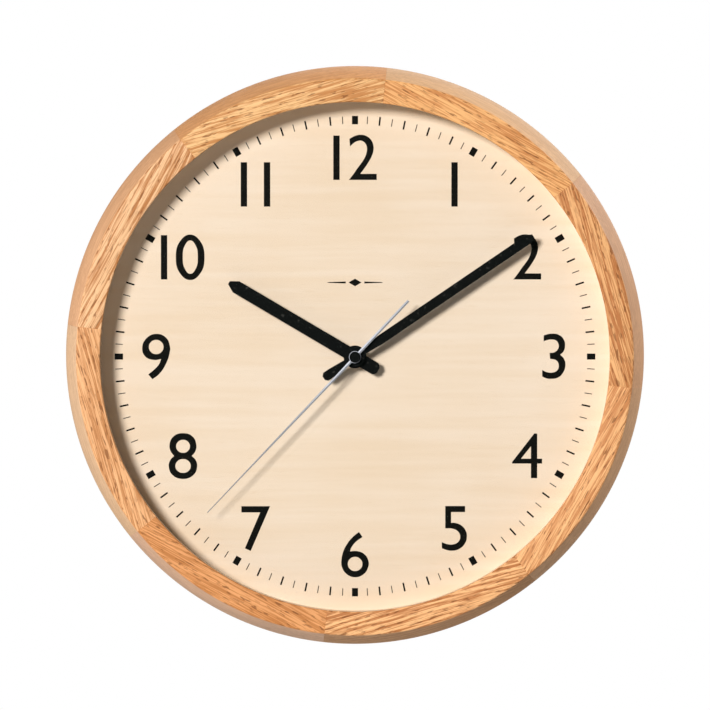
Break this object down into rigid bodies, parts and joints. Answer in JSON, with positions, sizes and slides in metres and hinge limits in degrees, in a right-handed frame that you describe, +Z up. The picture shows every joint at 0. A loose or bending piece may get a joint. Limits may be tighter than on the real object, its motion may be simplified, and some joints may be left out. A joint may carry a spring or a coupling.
{
  "type": "round wall clock",
  "caption": "Round analogue quartz wall clock: oak stave frame, flat glass, pale veneer dial with black hands and a silver second hand, keyhole hanger and geared battery movement behind.",
  "frame": {"origin": "the clock's axis at the wall plane", "axes": "+Z up towards twelve, +X towards three, the dial faces -Y and +Y points into the wall"},
  "size_m": [0.3, 0.045, 0.3],
  "materials": {
    "oak": "clear satin lacquer over open-grained oak",
    "front_glass": "clear float glass, polished",
    "spacer_card": "thin pale wood strip, matt",
    "dial_veneer": "pale figured veneer, matt lacquer",
    "dial_ink": "screen-printed black ink",
    "back_board": "brown hardboard, smooth face",
    "screw_steel": "zinc-plated steel",
    "hanger_steel": "pressed zinc-plated steel",
    "case_black": "moulded black plastic, fine texture",
    "gasket_rubber": "black rubber sheet",
    "brass": "turned brass",
    "hand_black": "black satin paint on sheet metal",
    "hand_silver": "bright folded aluminium",
    "gear_white": "natural acetal",
    "knob_plastic": "ribbed black plastic",
    "circuit_green": "green solder resist on laminate",
    "copper_wire": "enamelled copper wire",
    "soft_iron": "plain soft iron",
    "magnet_grey": "sintered magnet",
    "chip_resin": "black potting resin",
    "contact_steel": "nickel-plated spring steel",
    "battery_sleeve": "printed plastic sleeve on a steel can"
  },
  "bodies": {
    "root": {"frame_stave_1": "oak", "frame_stave_2": "oak", "frame_stave_3": "oak", "frame_stave_4": "oak", "frame_stave_5": "oak", "frame_stave_6": "oak", "frame_stave_7": "oak", "frame_stave_8": "oak", "front_glass": "front_glass", "spacer_ring": "spacer_card", "dial_board": "dial_veneer", "dial_board_screws": "screw_steel", "back_board": "back_board", "back_board_screws": "screw_steel", "hanger_plate": "hanger_steel", "hanger_screws": "screw_steel", "movement_front_case": "case_black", "movement_rear_case": "case_black", "mounting_bushing": "brass", "rubber_gasket": "gasket_rubber", "mounting_washer": "brass", "mounting_nut": "brass", "train_plate": "case_black", "circuit_board": "circuit_green", "quartz_crystal": "contact_steel", "driver_chip": "chip_resin", "coil_bobbin": "gear_white", "coil_winding": "copper_wire", "coil_core": "soft_iron", "stator_plate": "soft_iron", "contact_positive": "contact_steel", "contact_negative": "contact_steel"},
    "second_hand": {"second_hand": "hand_silver", "second_hand_cap": "hand_black", "second_arbor": "soft_iron", "second_wheel": "gear_white"},
    "minute_hand": {"minute_hand": "hand_black", "minute_pipe": "gear_white", "clutch_spring": "contact_steel"},
    "hour_hand": {"hour_hand": "hand_black", "hour_wheel": "gear_white"},
    "minute_wheel": {"minute_wheel": "gear_white"},
    "setting_knob": {"setting_knob": "knob_plastic", "setting_pinion": "gear_white"},
    "centre_wheel": {"centre_wheel": "gear_white"},
    "third_wheel": {"third_wheel": "gear_white"},
    "fifth_wheel": {"fifth_wheel": "gear_white"},
    "rotor": {"rotor_pinion": "gear_white", "rotor_magnet": "magnet_grey"},
    "battery": {"battery_cell": "battery_sleeve", "battery_nub": "contact_steel"}
  },
  "joints": [
    {"name": "second_hand_turn", "type": "hinge", "parent": "root", "child": "second_hand", "pos_m": [0, 0, 0], "axis": [0, 1, 0], "continuous": true},
    {"name": "third_wheel_turn", "type": "hinge", "parent": "root", "child": "third_wheel", "pos_m": [-0.01, 0, 0.00577], "axis": [0, 1, 0], "continuous": true},
    {"name": "centre_wheel_turn", "type": "hinge", "parent": "root", "child": "centre_wheel", "pos_m": [0, 0, 0], "axis": [0, 1, 0], "continuous": true},
    {"name": "fifth_wheel_turn", "type": "hinge", "parent": "root", "child": "fifth_wheel", "pos_m": [0.00417, 0, 0.01146], "axis": [0, 1, 0], "continuous": true},
    {"name": "rotor_turn", "type": "hinge", "parent": "root", "child": "rotor", "pos_m": [-0.00179, 0, 0.01564], "axis": [0, 1, 0], "continuous": true},
    {"name": "minute_hand_turn", "type": "hinge", "parent": "root", "child": "minute_hand", "pos_m": [0, 0, 0], "axis": [0, 1, 0], "continuous": true},
    {"name": "minute_wheel_turn", "type": "hinge", "parent": "root", "child": "minute_wheel", "pos_m": [0.00983, 0, 0.00688], "axis": [0, 1, 0], "continuous": true},
    {"name": "hour_hand_turn", "type": "hinge", "parent": "root", "child": "hour_hand", "pos_m": [0, 0, 0], "axis": [0, 1, 0], "continuous": true},
    {"name": "setting_knob_turn", "type": "hinge", "parent": "root", "child": "setting_knob", "pos_m": [0.01294, 0, 0.01847], "axis": [0, 1, 0], "continuous": true},
    {"name": "battery_slide", "type": "slide", "parent": "root", "child": "battery", "axis": [0, 1, 0], "range_m": [0, 0.03]}
  ],
  "couplings": [
    {"joint": "third_wheel_turn", "follows": "second_hand_turn", "ratio": -0.13333},
    {"joint": "centre_wheel_turn", "follows": "second_hand_turn", "ratio": 0.016667},
    {"joint": "fifth_wheel_turn", "follows": "second_hand_turn", "ratio": -5},
    {"joint": "rotor_turn", "follows": "second_hand_turn", "ratio": 30},
    {"joint": "minute_wheel_turn", "follows": "minute_hand_turn", "ratio": -0.33333},
    {"joint": "hour_hand_turn", "follows": "minute_hand_turn", "ratio": 0.083333},
    {"joint": "setting_knob_turn", "follows": "minute_hand_turn", "ratio": 1}
  ]
}
